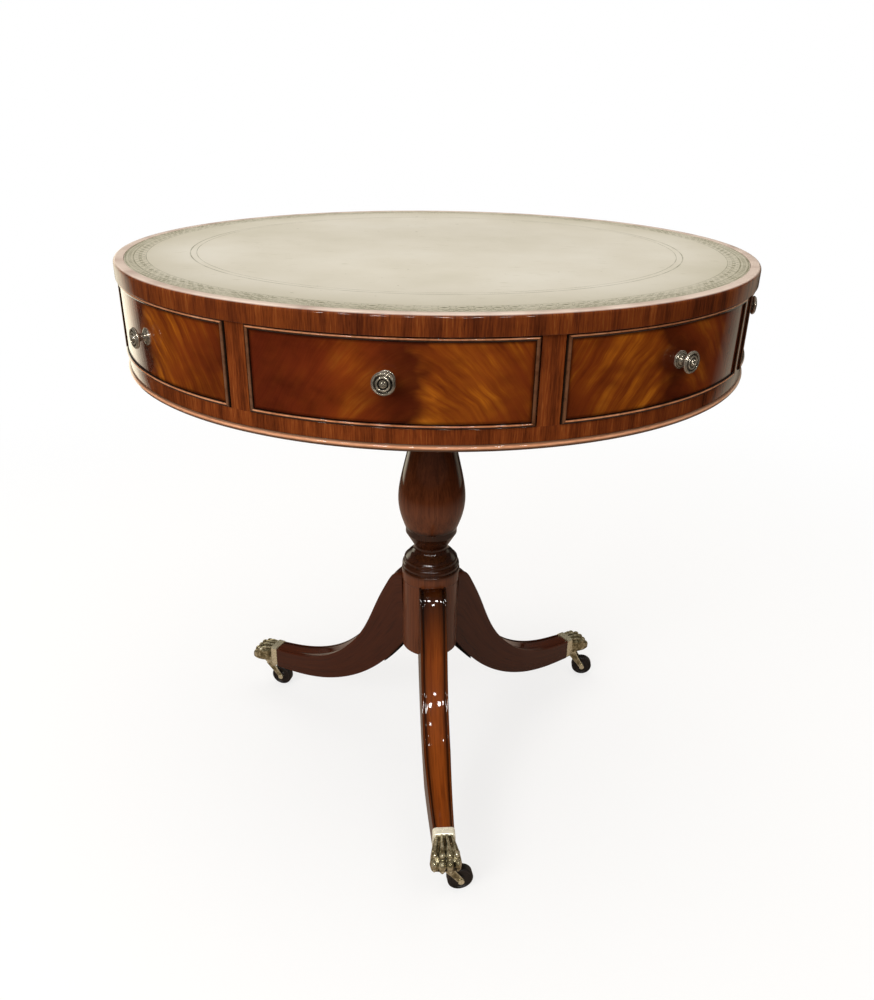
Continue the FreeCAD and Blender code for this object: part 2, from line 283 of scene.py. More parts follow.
def tonedAlong(tree, colour, value, stops):  # multiplies a colour by the amounts given at places in mm along a value
    low, high = stops[0][0], stops[-1][0]
    level = addNode(tree, "MapRange", value, low / 1000, high / 1000)
    amount = addNode(tree, "ValToRGB", level, stops=[((place - low) / (high - low), tone) for place, tone in stops])
    return addNode(tree, "Mix", 1.0, colour, amount, **multiply)


def lacqueredMahogany(name, coord, grain, seed, stops, wearAndSheen=None, upTone=None, acrossTone=None, alongTone=None,
                      paintedLightByFacing=None, gloss=0.9):
    # mahogany under shellac: warm streaks seen through a hard clear gloss
    material, tree, shader = newMaterial(name, {
        "Roughness": 0.4, "IOR": 1.5, "Specular IOR Level": 0.02,
        "Coat Weight": gloss, "Coat Roughness": 0.045, "Coat IOR": 1.5})
    source = addNode(tree, "TexCoord").node.outputs
    colour, fine = woodTones(tree, source[coord], grain, seed, stops)
    if wearAndSheen:  # pale above a height, broken up by noise: partly rubbed polish, partly a painted reflection
        height = addNode(tree, "SeparateXYZ", source["Object"]).node.outputs["Z"]
        paleBreakup, = noiseLayers(tree, source["Object"], 0, (45, still, 3.0, 0.5))
        level = addNode(tree, "MapRange", height, wearAndSheen["low"] / 1000, wearAndSheen["high"] / 1000)
        broken = addNode(tree, "MapRange", paleBreakup, 0.2, 0.55, 0.55, 1.0)
        amount = addNode(tree, "Math", level, broken, operation="MULTIPLY")
        colour = addNode(tree, "Mix", amount, colour, hexLinear(wearAndSheen["colour"]), **blend)
    for tones, coords, axis in ((upTone, "Object", "Z"), (acrossTone, "UV", "X"), (alongTone, "UV", "Y")):
        if tones:  # darker or lighter by height, across a moulding from its middle, or down its length: painted shade and highlight, partly old polish in hollows
            place = addNode(tree, "SeparateXYZ", source[coords]).node.outputs[axis]
            colour = tonedAlong(tree, colour, addNode(tree, "Math", place, operation="ABSOLUTE"), tones)
    if paintedLightByFacing:  # painted highlight where it looks a little up, painted shade where it looks down
        normal = addNode(tree, "NewGeometry").node.outputs["Normal"]
        lift = addNode(tree, "MapRange", addNode(tree, "SeparateXYZ", normal).node.outputs["Z"], -1.0)
        shade = addNode(tree, "ValToRGB", lift, stops=paintedLightByFacing)
        colour = addNode(tree, "Mix", 1.0, colour, shade, **multiply)
    dressShader(tree, shader, colour, fine, 0.06, 0.4)
    return material


flame = {  # mm from the middle to the cockbead, fall of the fibres, painted shade along the bead, partly old wax; tones across a panel
    "half": (128.4, 37.2), "drop": 3.3, "beadShadeAndWaxWide": 3.0, "beadShadeAndWax": 0.3, "wide": 0.133,
    "body": [(0.0, "#581f0d"), (0.16, "#66260e"), (0.30, "#783110"), (0.40, "#66270e"), (0.46, "#521d0b"),
             (0.51, "#4a1a0a"), (0.57, "#74330f"), (0.66, "#864212"), (0.75, "#7c3812"), (0.87, "#6c2d0f"),
             (1.0, "#5c240d")],
    "gold": [(0.34, "#5c250b"), (0.48, "#82400f"), (0.58, "#a25a14"), (0.70, "#bc7622")],
    "plume": [(0.08, 0.06), (0.22, 0.2), (0.34, 0.3), (0.43, 0.12), (0.50, 0.06), (0.57, 0.9), (0.66, 0.9),
              (0.80, 0.5), (0.94, 0.2)]}


def flameMahogany(name, seed, lean, spine, way, richness):
    # crotch veneer: a dark spine near the knob, a golden plume on one side of it and soft streaks falling away from it
    material, tree, shader = newMaterial(name, {
        "Roughness": 0.36, "IOR": 1.5, "Specular IOR Level": 0.02,
        "Coat Weight": 0.95, "Coat Roughness": 0.05, "Coat IOR": 1.5})
    source = addNode(tree, "TexCoord").node.outputs["UV"]
    part = addNode(tree, "SeparateXYZ", source).node.outputs
    clouds, blotch, patches = noiseLayers(
        tree, source, seed, ((75, 55, 75), (3.7, 1.9, 1), 3.0, 0.5),
        ((34, 26, 34), (1.3, 6.1, 4), 3.5, 0.55), ((46, 30, 46), (2.9, 0.7, 3), 2.0, 0.5))
    u = addNode(tree, "Math", part["X"], way, -way * spine / 1000, operation="MULTIPLY_ADD")
    v = part["Y"]
    sway = addNode(tree, "Math", clouds, 0.5, operation="SUBTRACT")
    swayed = addNode(tree, "Math", sway, 0.1, u, operation="MULTIPLY_ADD")
    leaned = addNode(tree, "Math", v, -lean, swayed, operation="MULTIPLY_ADD")
    across = addNode(tree, "MapRange", leaned, -flame["wide"], flame["wide"])
    body = addNode(tree, "ValToRGB", across, stops=flame["body"])
    shade = addNode(tree, "ValToRGB", blotch, stops=[(0.3, 0.62), (0.52, 0.9), (0.7, 1.0)])
    body = addNode(tree, "Mix", 1.0, body, shade, **multiply)
    # fibres fall away on both sides of the spine like a fountain: height plus this drop is the same all along one fibre
    drop = addNode(tree, "Math", addNode(tree, "Math", u, operation="ABSOLUTE"), 1.5, operation="POWER")
    fallen = addNode(tree, "Math", drop, flame["drop"], v, operation="MULTIPLY_ADD")
    fibre = addNode(tree, "Math", sway, 0.03, fallen, operation="MULTIPLY_ADD")
    feather = addNode(tree, "CombineXYZ", u, fibre)
    streak, fine = noiseLayers(
        tree, feather, seed, ((85, 19, 85), (1, 8.3, 2), 4.5, 0.62), ((26, 3.2, 26), (5, 1, 0), 3.0, 0.6))
    gold = addNode(tree, "ValToRGB", streak, stops=flame["gold"])
    plume = addNode(tree, "ValToRGB", across, stops=flame["plume"])
    rich = addNode(tree, "Math", plume, richness, operation="MULTIPLY")
    patch = addNode(tree, "MapRange", patches, 0.4, 0.6, 0.25)
    amount = addNode(tree, "Math", rich, patch, operation="MULTIPLY")
    figured = addNode(tree, "Mix", amount, body, gold, **blend)
    lines = addNode(tree, "ValToRGB", fine, stops=[(0.34, 0.72), (0.58, 1.0)])
    lined = addNode(tree, "Mix", 0.45, figured, lines, **multiply)
    margins = []
    for axis, half in zip("XY", flame["half"]):
        place = addNode(tree, "Math", part[axis], operation="ABSOLUTE")
        margins.append(addNode(tree, "Math", half / 1000, place, operation="SUBTRACT"))
    inside = addNode(tree, "Math", *margins, operation="MINIMUM")
    # darker within a few mm of the cockbead: painted shade along the bead, partly old wax
    beadShadeAndWax = addNode(tree, "MapRange", inside, 0.0, flame["beadShadeAndWaxWide"] / 1000, flame["beadShadeAndWax"])
    colour = addNode(tree, "Mix", 1.0, lined, beadShadeAndWax, **multiply)
    dressShader(tree, shader, colour, fine, 0.04, 0.3)
    return material


tooling = {"lines": [(366.4, 1.5), (357.4, 1.3), (343.8, 0.8), (294.6, 1.2), (287.4, 0.8)],  # radius and width, mm
           "motifs": [(361.9, 250, 4.6), (350.4, 140, 6.2)]}  # radius, how many round it, size


def tooledLeather(name):
    # sheepskin faded to olive cream, tooled rings and a lacy border pressed in, scuffs from use
    material, tree, shader = newMaterial(name, {
        "Roughness": 0.52, "IOR": 1.45, "Coat Weight": 0.12, "Coat Roughness": 0.35})
    source = addNode(tree, "TexCoord").node.outputs["Object"]
    place = addNode(tree, "SeparateXYZ", source).node.outputs
    flat = addNode(tree, "VectorMath", source, (1000, 1000, 0), operation="MULTIPLY")
    r = addNode(tree, "VectorMath", flat, operation="LENGTH")
    angle = addNode(tree, "Math", place["Y"], place["X"], operation="ARCTAN2")
    turn = addNode(tree, "Math", angle, 2 * math.pi, operation="DIVIDE")
    wear, mottle, dots = noiseLayers(
        tree, source, 0, (28, still, 3.0, 0.6), (140, still, 4.0, 0.55), (9, still, 1.0, 0.5))
    marks = [addNode(tree, "Math", r, radius, wide / 2, operation="COMPARE") for radius, wide in tooling["lines"]]
    for radius, count, size in tooling["motifs"]:  # a six-petalled outline round a circle, with a dot between two
        pitch = 2 * math.pi * radius / count
        step = addNode(tree, "Math", addNode(tree, "Math", turn, float(count), operation="MULTIPLY"), operation="FRACT")
        s = addNode(tree, "Math", step, pitch, -pitch / 2, operation="MULTIPLY_ADD")
        q = addNode(tree, "Math", r, radius, operation="SUBTRACT")
        d = addNode(tree, "VectorMath", addNode(tree, "CombineXYZ", s, q), operation="LENGTH")
        sixth = addNode(tree, "Math", addNode(tree, "Math", q, s, operation="ARCTAN2"), 6.0, operation="MULTIPLY")
        wave = addNode(tree, "Math", sixth, operation="COSINE")
        petal = addNode(tree, "Math", wave, size * 0.3, size * 0.62, operation="MULTIPLY_ADD")
        marks.append(addNode(tree, "Math", d, petal, size * 0.14, operation="COMPARE"))
        aside = addNode(tree, "Math", addNode(tree, "Math", s, operation="ABSOLUTE"), pitch / 2, operation="SUBTRACT")
        gap = addNode(tree, "VectorMath", addNode(tree, "CombineXYZ", aside, q), operation="LENGTH")
        marks.append(addNode(tree, "Math", gap, size * 0.42, operation="LESS_THAN"))
    pressed = marks[0]
    for mark in marks[1:]:
        pressed = addNode(tree, "Math", pressed, mark, operation="MAXIMUM")
    wearAndSheen = addNode(tree, "MapRange", wear, 0.36, 0.58, 0.35, 1.0)
    pressed = addNode(tree, "Math", pressed, wearAndSheen, operation="MULTIPLY")
    hide = addNode(tree, "ValToRGB", mottle, stops=[(0.3, "#c4beac"), (0.5, "#ccc6b6"), (0.7, "#d2cdbf")])
    scuffMap = addNode(tree, "Mapping", source, still, (0, 0, 0.35), (1000 / 22, 1000 / 5, 1))
    scuff = addNode(tree, "TexNoise", scuffMap, 1.0, 2.0)
    inked = addNode(tree, "Math", pressed, 0.92, operation="MULTIPLY")
    for value, limits, tone in ((r, (300.0, 368.0, 0.0, 0.6), "#aea78f"), (scuff, (0.66, 0.76, 0.0, 0.4), "#9d9678"),
                                (dots, (0.79, 0.81, 0.0, 0.6), "#7d7558"), (inked, (0.0, 1.0, 0.0, 1.0), "#77745a")):
        amount = addNode(tree, "MapRange", value, *limits)  # aged rim, scuffs, specks and tooling, one over the other
        hide = addNode(tree, "Mix", amount, hide, hexLinear(tone), **blend)
    pebble = addNode(tree, "TexVoronoi", source, 1000 / 1.6)
    grain = addNode(tree, "Math", pebble, 0.18, operation="MULTIPLY")
    relief = addNode(tree, "Math", pressed, -1.0, grain, operation="MULTIPLY_ADD")
    dressShader(tree, shader, hide, relief, 0.35, 0.5)
    return material


def agedBrass(name, bright, dull, dark, rough, metal, hollow, ease):
    # cast brass: dull olive patina, dark in the hollows and rubbed pale on what is touched
    material, tree, shader = newMaterial(name, {"Metallic": metal})
    source = addNode(tree, "TexCoord").node.outputs["Object"]
    edge = addNode(tree, "NewGeometry").node.outputs["Pointiness"]
    stain, grain = noiseLayers(tree, source, 0, (7, still, 4.0, 0.6), (0.9, still, 2.0, 0.5))
    mixed = addNode(tree, "Math", stain, 0.16, edge, operation="MULTIPLY_ADD")
    stops = [(hollow, dark), (hollow + 0.45 * ease, dull), (hollow + ease, bright)]
    tone = addNode(tree, "ValToRGB", mixed, stops=stops)
    stained = addNode(tree, "MapRange", stain, 0.3, 0.7, rough * 0.75, rough * 1.35)
    dressShader(tree, shader, tone, grain, 0.12, 0.2, stained)
    return material


def plainMetal(name, low, high, rough, streak):
    # turned or rolled metal: fine tool marks and a little tarnish
    material, tree, shader = newMaterial(name, {"Metallic": 1.0})
    marks, = noiseLayers(tree, addNode(tree, "TexCoord").node.outputs["Object"], 0, (streak, still, 3.0, 0.5))
    tone = addNode(tree, "ValToRGB", marks, stops=[(0.35, low), (0.65, high)])
    marked = addNode(tree, "MapRange", marks, 0.3, 0.7, rough * 0.8, rough * 1.25)
    dressShader(tree, shader, tone, rough=marked)
    return material


def drawerOak(name, grain, seed):
    # oak drawer linings, planed and bare: pale straight grain with open pores, no gloss
    material, tree, shader = newMaterial(name, {"Roughness": 0.68, "IOR": 1.5})
    source = addNode(tree, "TexCoord").node.outputs["Object"]
    colour, fine = woodTones(tree, source, grain, seed, [(0.3, "#8a6236"), (0.5, "#ab8250"), (0.7, "#c29a66")])
    dressShader(tree, shader, colour, fine, 0.25, 0.3)
    return material


def hardWheel(name):
    # dark composition wheel: near black, dulled and scuffed on the tread
    material, tree, shader = newMaterial(name, {"IOR": 1.5})
    scuff, = noiseLayers(tree, addNode(tree, "TexCoord").node.outputs["Object"], 0, (3.5, still, 4.0, 0.5))
    tone = addNode(tree, "ValToRGB", scuff, stops=[(0.35, "#0d0a08"), (0.6, "#1d1512"), (0.75, "#3a2c25")])
    dressShader(tree, shader, tone, rough=addNode(tree, "MapRange", scuff, 0.0, 1.0, 0.25, 0.6))
    return material


bandGrain = (1.5, 26, 26)  # across the edge of the drum, mm
crossband = lacqueredMahogany(
    "crossbandMahogany", "UV", bandGrain, 2.0,
    [(0.30, "#351509"), (0.46, "#622d12"), (0.58, "#7d3d19"), (0.74, "#9b5a2b")])
# the lip's top is painted pale above 758.7 mm: partly rubbed polish, partly a painted reflection of bright surroundings
lipBand = lacqueredMahogany(
    "rubbedAndSheenLipMahogany", "UV", bandGrain, 5.0,
    [(0.30, "#311309"), (0.46, "#5a2912"), (0.58, "#733816"), (0.74, "#915428")],
    wearAndSheen={"low": 758.7, "high": 759.8, "colour": "#d8c5b6"}, gloss=0.5)
# base bead: pale tones that stand in for its highlight, a painted highlight where it looks a little up, painted shade
# where it looks down or straight up
beadBand = lacqueredMahogany(
    "baseBeadMahogany", "UV", (30, 1.6, 30), 3.0, [(0.28, "#be7e58"), (0.5, "#dc9e78"), (0.72, "#f0be9a")],
    paintedLightByFacing=[(0.0, 0.06), (0.34, 0.14), (0.46, 0.4), (0.58, 0.95), (0.7, 1.0), (0.84, 0.4), (1.0, 0.1)])
# cockbead: pale tones that stand in for its highlight; painted shade sinking from the crest to the panel, partly old
# wax; a painted highlight on the upper flank and painted shade below
cockbeadWood = lacqueredMahogany(
    "cockbeadMahogany", "Object", (14, 14, 14), 4.0, [(0.3, "#b06a42"), (0.5, "#d08c62"), (0.72, "#e8ae88")],
    acrossTone=[(0, 1.0), (0.75, 1.0), (1.1, 0.7), (1.6, 0.12), (4.0, 0.03)],
    paintedLightByFacing=[(0.0, 0.03), (0.40, 0.05), (0.49, 0.16), (0.58, 0.7), (0.68, 1.0), (0.8, 0.6), (0.9, 0.1), (1.0, 0.05)])
# pillar and block: painted shade in the rings and under the drum, partly old polish in the hollows
pillarWood = lacqueredMahogany(
    "pillarMahogany", "Object", (4, 4, 120), 6.0,
    [(0.28, "#42200f"), (0.50, "#60311a"), (0.66, "#733e22"), (0.80, "#844c28")],
    upTone=[(170, 1.0), (303, 1.0), (309, 0.3), (344, 0.26), (360, 0.34), (366, 0.2), (376, 0.2), (382, 0.85),
            (408, 1.0), (440, 0.75), (490, 0.45), (640, 0.4)])
legGrain = (4.0, 120, 60)
# a shaded copy of the leg wood for the side legs: painted shade in the groove and down the sides, a painted highlight
# on the bead
shadedSideLegWood = lacqueredMahogany(
    "shadedSideLegMahogany", "UV", legGrain, 8.0,
    [(0.28, "#481c0c"), (0.48, "#55240f"), (0.62, "#5e2a11"), (0.78, "#683113")],
    acrossTone=[(0, 0.7), (10.0, 0.6), (10.8, 0.3), (12.2, 0.3), (13.5, 0.8), (15.5, 0.62), (60, 0.5)])
# a lit copy for the front leg: painted shade in the groove and down the sides, and painted shade at its top under the
# drum
litFrontLegWood = lacqueredMahogany(
    "litFrontLegMahogany", "UV", legGrain, 7.0,
    [(0.28, "#682e0f"), (0.48, "#8c4415"), (0.62, "#9e521a"), (0.78, "#b26222")],
    acrossTone=[(0, 1.0), (6.5, 0.92), (10.0, 0.45), (10.8, 0.14), (12.2, 0.18), (13.2, 0.5), (15.0, 0.36),
                (16.5, 0.34), (60, 0.28)],
    alongTone=[(0, 0.16), (22, 0.2), (60, 0.55), (95, 1.0), (400, 1.0)])
leather = tooledLeather("tooledLeather")
brass = agedBrass("castBrass", "#f0e7c6", "#8f8360", "#17140a", 0.24, 0.75, 0.54, 0.09)
# brass painted near white for the front collar: a painted reflection of the bright room
litCollarBrass = agedBrass("paintedReflectionCollarBrass", "#fbf5de", "#f6efd6", "#a89c78", 0.24, 0.2, 0.45, 0.12)
knobBrass = agedBrass("knobBrass", "#cfc6b4", "#857c6d", "#1a1610", 0.22, 0.74, 0.517, 0.12)
steel = plainMetal("turnedSteel", "#7d7d7b", "#b0b0ac", 0.35, (0.6, 0.6, 6))
iron = plainMetal("blackIron", "#171614", "#2b2927", 0.6, 5)
oakAlongX = drawerOak("oakAlongX", (60, 2.4, 2.4), 1.0)
oakAlongY = drawerOak("oakAlongY", (2.4, 60, 2.4), 2.0)
wheelBlack = hardWheel("compositionWheel")
print("materials made")

# top: solid lipping and the inset leather; rail, bead and stiles of the drum under it

shell = {"sides": 288, "lipIn": 368.2, "lipOut": 380.0, "leather": 367.9, "leatherTop": 759.7, "leatherThick": 1.25,
         "railIn": 347.0, "rebate": 8.0, "beadHeight": 7.0, "beadProud": 2.3, "stileThick": 16.0, "ease": 0.4}
boardLow, tableTop, face, sides = drum["boardBottom"], drum["height"], drum["faceRadius"], shell["sides"]
lipIn, lipOut = shell["lipIn"], shell["lipOut"]
lip = drawProfile([(lipIn, boardLow), (lipOut - 1, boardLow), ((lipOut - 0.3, boardLow + 0.3), (lipOut, boardLow + 1)),
                   (lipOut, tableTop - 3.5), ((lipOut - 1.03, tableTop - 1.03), (lipOut - 3.5, tableTop)),
                   (lipIn, tableTop)])
lip = turnedPart(easeCorners(lip, 0.5, True), sides, True)
addPiece("topLipping", [lip], lipBand, "drum", ["top_lipping"])
rim, over, under = shell["leather"], shell["leatherTop"], shell["leatherTop"] - shell["leatherThick"]
hide = drawProfile([(0, under), (rim, under), (rim, over - 0.6), ((rim - 0.2, over - 0.15), (rim - 0.9, over)),
                    (180, over), (0, over)])
addPiece("leatherTop", [turnedPart(hide, sides)], leather, "drum", ["leather_top"])

railIn, railTop, bottom, step = shell["railIn"], drum["railTop"], drum["bottom"], face - shell["rebate"]
beadTop = bottom + shell["beadHeight"]
rail = drawProfile([(railIn, bottom), (step, bottom), (step, beadTop), (face, beadTop), (face, railTop),
                    (railIn, railTop)])
rail = turnedPart(easeCorners(rail, shell["ease"], True), sides, True)
addPiece("lowerRail", [rail], crossband, "drum", ["lower_rail"])
nose = (face + shell["beadProud"], bottom + shell["beadHeight"] / 2)
bead = drawProfile([(step + 0.1, bottom), (face - 1, bottom), (nose, (face - 1, beadTop)), (step + 0.1, beadTop)])
addPiece("baseBead", [turnedPart(bead, sides, True)], beadBand, "drum", ["base_bead"])

pitch = 360 / drum["panels"]
slope, setBack = math.tan(math.radians(pitch / 2)), drum["openingHalf"] / math.cos(math.radians(pitch / 2))
stileIn = face - shell["stileThick"]
stile = np.array([(stileIn, railTop), (face, railTop), (face, boardLow), (stileIn, boardLow)], float)
stile = bandPart(stile, 0, 9, lambda r: r * slope - setBack - 0.02)  # fills the wedge left between two openings
stiles = [turnedAbout(stile, pitch * (k + 0.5)) for k in range(drum["panels"])]
addPiece("friezeStiles", stiles, crossband, "drum", ["frieze_stiles"])
print("drum shell made")

# panels: veneered front, mitred cockbead, knob and rose

panel = {"gap": 0.7, "low": railTop + 0.3, "high": boardLow - 0.6, "bead": 4.5, "deep": 8.0, "thick": 16.0,
         "tongue": 7.8, "steps": 49, "knobHeight": 701.5}
figures = [  # of the veneer: seed, lean of the spine, its place in mm, side of the plume and how much gold is in it
    (1.0, 0.25, 24, 1, 1.1), (2.4, 0.35, -4, -1, 1.6), (3.7, 0.3, 8, 1, 1.0), (5.1, 0.4, -6, -1, 1.2),
    (6.5, 0.3, 12, 1, 1.0), (7.8, 0.25, -14, -1, 0.9), (9.2, 0.35, 6, 1, 1.1), (10.6, 0.2, -12, 1, 1.1)]


def panelFront():  # a backing slab and a veneered front inside the bead, both curved round the drum
    half, wide, steps = drum["openingHalf"] - panel["gap"], panel["bead"], panel["steps"]
    back, rebate, foot, crown = face - panel["thick"], face - panel["deep"], panel["low"], panel["high"]
    rear = np.array([(back, foot), (rebate - 0.1, foot), (rebate - 0.1, crown), (back, crown)], float)
    inner, sill, lintel = rebate - 1, foot + wide, crown - wide
    front = np.array([(inner, sill), (face, sill), (face, lintel), (inner, lintel)], float)
    return [bandPart(easeCorners(rear, 0.4, True), half, steps),
            bandPart(easeCorners(front, 0.25, True), half - wide, steps)]


def cockbeadFrame():  # a half-round nose on a flat tongue, run round the four edges and mitred
    wide, half, tongue = panel["bead"], drum["openingHalf"] - panel["gap"], panel["tongue"]
    loop = drawProfile([(0, -tongue), (wide, -tongue), (wide, 0), ((wide / 2, wide / 2), (0, 0))])
    s, h = loop[:, 0][:, None], loop[:, 1][:, None]
    strips = []
    for side in (-1, 1):
        t = np.linspace(-1, 1, panel["steps"])
        edge = panel["high"] if side > 0 else panel["low"]
        strips.append((t * (half - wide + s), edge - side * (wide - s) + 0 * t))  # along the top or the bottom
        t = np.linspace(0, 1, 2)
        rise = panel["low"] + wide - s + t * (panel["high"] - panel["low"] - 2 * wide + 2 * s)
        strips.append((side * (half - wide + s) + 0 * t, rise))  # up one end
    parts = []
    for x, z in strips:
        points = np.stack(np.broadcast_arrays(x, -np.sqrt((face + h) ** 2 - x ** 2), z), -1)
        depth = wide / 2 + 0.6 - h + 0 * x  # under the crest of the nose, which the cockbead's finish darkens as painted shade
        uv = np.stack(np.broadcast_arrays(depth, x + z), -1)
        uv = np.concatenate([uv, uv[:1]])
        parts.append(capped(gridPart(points, uv, True, False), points, uv))
    return parts


knob = {  # profiles give radius and height over the face of the drum
    "rose": [(0, -0.2), (8.8, -0.2), (8.8, 0.9), ((8.5, 1.5), (7.9, 1.6)), (7.6, 1.4), ((6.8, 2.3), (5.6, 2.4)),
             (0, 2.4)],
    "head": [(0, 2.2), (5.0, 2.2), (5.0, 3.2), ((3.7, 6.2), (5.2, 9.6)), ((6.6, 11.0), (9.6, 11.4)),
             ((11, 12.7), (10.2, 14.2)), ((9.4, 14.9), (8.5, 14.3)), ((7.6, 13.1), (6.6, 13.9)),
             ((5.8, 15.2), (4.9, 14.2)), (4.3, 13.6), (3.9, 14.2), [(3.2, 15.9), (1.8, 16.9), (0, 17.3)]],
    "shank": [(0, -21.5), (2.6, -21.5), (2.6, 0), (0, 0)],
    "nut": [(2.6, -20), (5.0, -20), (5.2, -19.6), (5.2, -16.6), (5.0, -16.2), (2.6, -16.2)],
    "bossRadius": 4.0, "bossFoot": 13.0, "petals": 8, "petalRise": 0.55}


def knobParts():  # turned rings: rose, waisted stem, rimmed head with two sunk rings and a small flower boss
    head = turnedPart(drawProfile(knob["head"]), 64)
    x, y, z = head[0].T  # views, so raising z raises the head's own points
    r, reach = np.hypot(x, y), knob["bossRadius"]
    petal = np.where((r < reach) & (z > knob["bossFoot"]), np.clip(r / 2.0, 0, 1) * np.clip((reach - r) / 1.2, 0, 1), 0)
    z += knob["petalRise"] * petal * (np.abs(np.cos(knob["petals"] / 2 * np.arctan2(y, x))) - 0.6)
    shank, nut = turnedPart(drawProfile(knob["shank"]), 16), turnedPart(drawProfile(knob["nut"]), 6, True)
    groups = [turnedPart(drawProfile(knob["rose"]), 48)], [head, shank, nut]
    return [[faceFront(part, face, panel["knobHeight"]) for part in group] for group in groups]


frontParts, beadParts = panelFront(), cockbeadFrame()
roseParts, headParts = knobParts()
for index, figure in enumerate(figures):
    turn = pitch * index
    name = next((n for n, t in drawerTurns.items() if t == turn), None)
    body, title = (name + "_drawer", name + "Drawer") if name else ("drum", "false" + str(index))
    nodes = [name + "_drawer_" + piece for piece in ("face", "cockbead", "rose", "knob")] if name else [
        "false_faces", "false_cockbeads", "false_roses", "false_knobs"]
    pieces = [("Face", frontParts, flameMahogany("flameMahogany" + str(index), *figure), "flame_veneer"),
              ("Cockbead", beadParts, cockbeadWood, "cockbead_wood"),
              ("Rose", roseParts, knobBrass, "brass"), ("Knob", headParts, knobBrass, "brass")]
    for (label, parts, finish, slot), node in zip(pieces, nodes):
        addPiece(title + label, [turnedAbout(part, turn) for part in parts], finish, body, [node])
print("panels made")

# pillar and bearing block

stand = {"hub": 42.0, "hubBottom": 176.0, "hubTop": 308.0, "top": 610.5, "block": 22.0, "bore": 10.1, "sides": 128}
hub, hubTop, top, bore = stand["hub"], stand["hubTop"], stand["top"], stand["bore"]
hubLow = stand["hubBottom"]
pillar = drawProfile([
    (0, hubLow), (hub - 2.2, hubLow), (hub - 1.2, hubLow + 1), (hub - 1.2, 290), (hub, 292), (hub, hubTop),
    (41.4, hubTop + 0.8), (40.0, hubTop + 1.2), (40.0, hubTop + 2.2), ((41.4, 314.6), (39.4, 319.4)),
    (38.2, 319.8), (38.2, 321), (38.8, 321.4), (38.4, 325), (36.6, 325.8),  # dome on the hub
    ((33.4, 330.4), (28.8, 334.6)), ((25.4, 338.4), (24.2, 343)),
    (25.2, 347), (35.8, 364.8), (36.6, 366), (36.6, 374), (37.6, 375.6),  # neck and ring
    [(42.4, 389), (47.2, 413.5), (44.2, 447), (35.5, 486), (27.2, 536), (24.8, top - 40)],  # vase
    (24.8, top - 36), (29, top - 35), ((31.5, top - 31), (29, top - 27)), (27, top - 26),
    ((31, top - 10), (45, top - 5)), (46, top - 4), (46, top), (0, top)])
pillar = turnedPart(easeCorners(pillar, 0.5, False), stand["sides"])
addPiece("turnedPillar", [pillar], pillarWood, "pedestal", ["pillar"])
lid = top + stand["block"]
block = drawProfile([(bore, top), (92, top), ((102.8, top + 3.3), (110, top + 12)), (114, top + 12), (115, top + 13),
                     (115, lid - 2), (113, lid), (bore, lid)])
block = turnedPart(easeCorners(block, 0.6, True), stand["sides"], True)
addPiece("bearingBlock", [block], pillarWood, "pedestal", ["bearing_block"])
print("pillar made")

# legs: swept side outline with a moulded top face

leg = {"halves": [(40, 19.5), (170, 18.6), (281, 13.8)], "stations": 90,  # reach and half width
       "upper": [(38, 293.5), (46, 293), (62, 275), (80, 238), (98, 195), (116, 162), (138, 135), (165, 112), (200, 94),
                 (240, 83.5), (281, 79.5)],  # reach and height of the top edge
       "lower": [(34, 177), (66, 134), (100, 101), (140, 75), (185, 57.5), (235, 48), (281, 45.5)],
       "bead": 0.2, "groove": 0.09, "relief": 2.2, "topSteps": 61, "sideSteps": 11, "underSteps": 9}


def legPart():  # a closed section between lower and upper outline; the top carries a bead, a groove and a broad swell
    count, sideSteps, underSteps = leg["stations"], leg["sideSteps"], leg["underSteps"]
    crest, foot = cubicThrough(leg["upper"], count), cubicThrough(leg["lower"], count)
    half = np.interp(crest[:, 0], *np.array(leg["halves"]).T)
    q = np.linspace(1, -1, leg["topSteps"])
    edge = 1 - leg["bead"]
    inner = edge - leg["groove"]
    place = np.abs(q)
    bead = np.sqrt(np.clip(1 - ((place - (1 + edge) / 2) / (leg["bead"] / 2)) ** 2, 0, 1)) - 1
    swell = np.sqrt(np.clip(1 - (place / inner) ** 2, 0, 1)) ** 0.7 - 1
    relief = np.where(place > edge, bead, np.where(place < inner, swell, -1)) * leg["relief"]
    side = np.linspace(0, 0.97, sideSteps + 1)[1:]
    across = np.r_[np.linspace(-1, 1, underSteps), np.ones(sideSteps), q[1:-1], -np.ones(sideSteps)]
    rise = np.r_[np.zeros(underSteps), side, np.ones(leg["topSteps"] - 2), side[::-1]]
    sink = np.r_[np.zeros(underSteps + sideSteps), relief[1:-1], np.zeros(sideSteps)]
    span = crest - foot
    unit = span / np.linalg.norm(span, axis=1, keepdims=True)
    rz = foot[None] + rise[:, None, None] * span[None] + sink[:, None, None] * unit[None]
    points = np.stack([across[:, None] * half[None], -rz[..., 0], rz[..., 1]], -1)
    along = np.r_[0, np.cumsum(np.linalg.norm(np.diff((crest + foot) / 2, axis=0), axis=1))]
    down = 15 + 45 * (1 - side)
    under = 70 + np.linspace(10, 0, underSteps)
    spread = np.r_[under, down, 15 * q[1:-1], -down[::-1], -70]  # mm from the middle of the top
    uv = np.stack(np.broadcast_arrays(spread[:, None], along[None]), -1)
    return capped(gridPart(points, uv, True, False), points, uv)


legBlank = legPart()
for name, turn in legTurns.items():
    # the front leg takes the lit copy of the leg wood, the side legs the shaded one
    finish = litFrontLegWood if name == "front" else shadedSideLegWood
    addPiece(name + "Leg", [turnedAbout(legBlank, turn)], finish, "pedestal", [name + "_leg"], 30)
print("legs made")

# lion paws: collar, tendons, knuckles, toes and claws run together as one casting

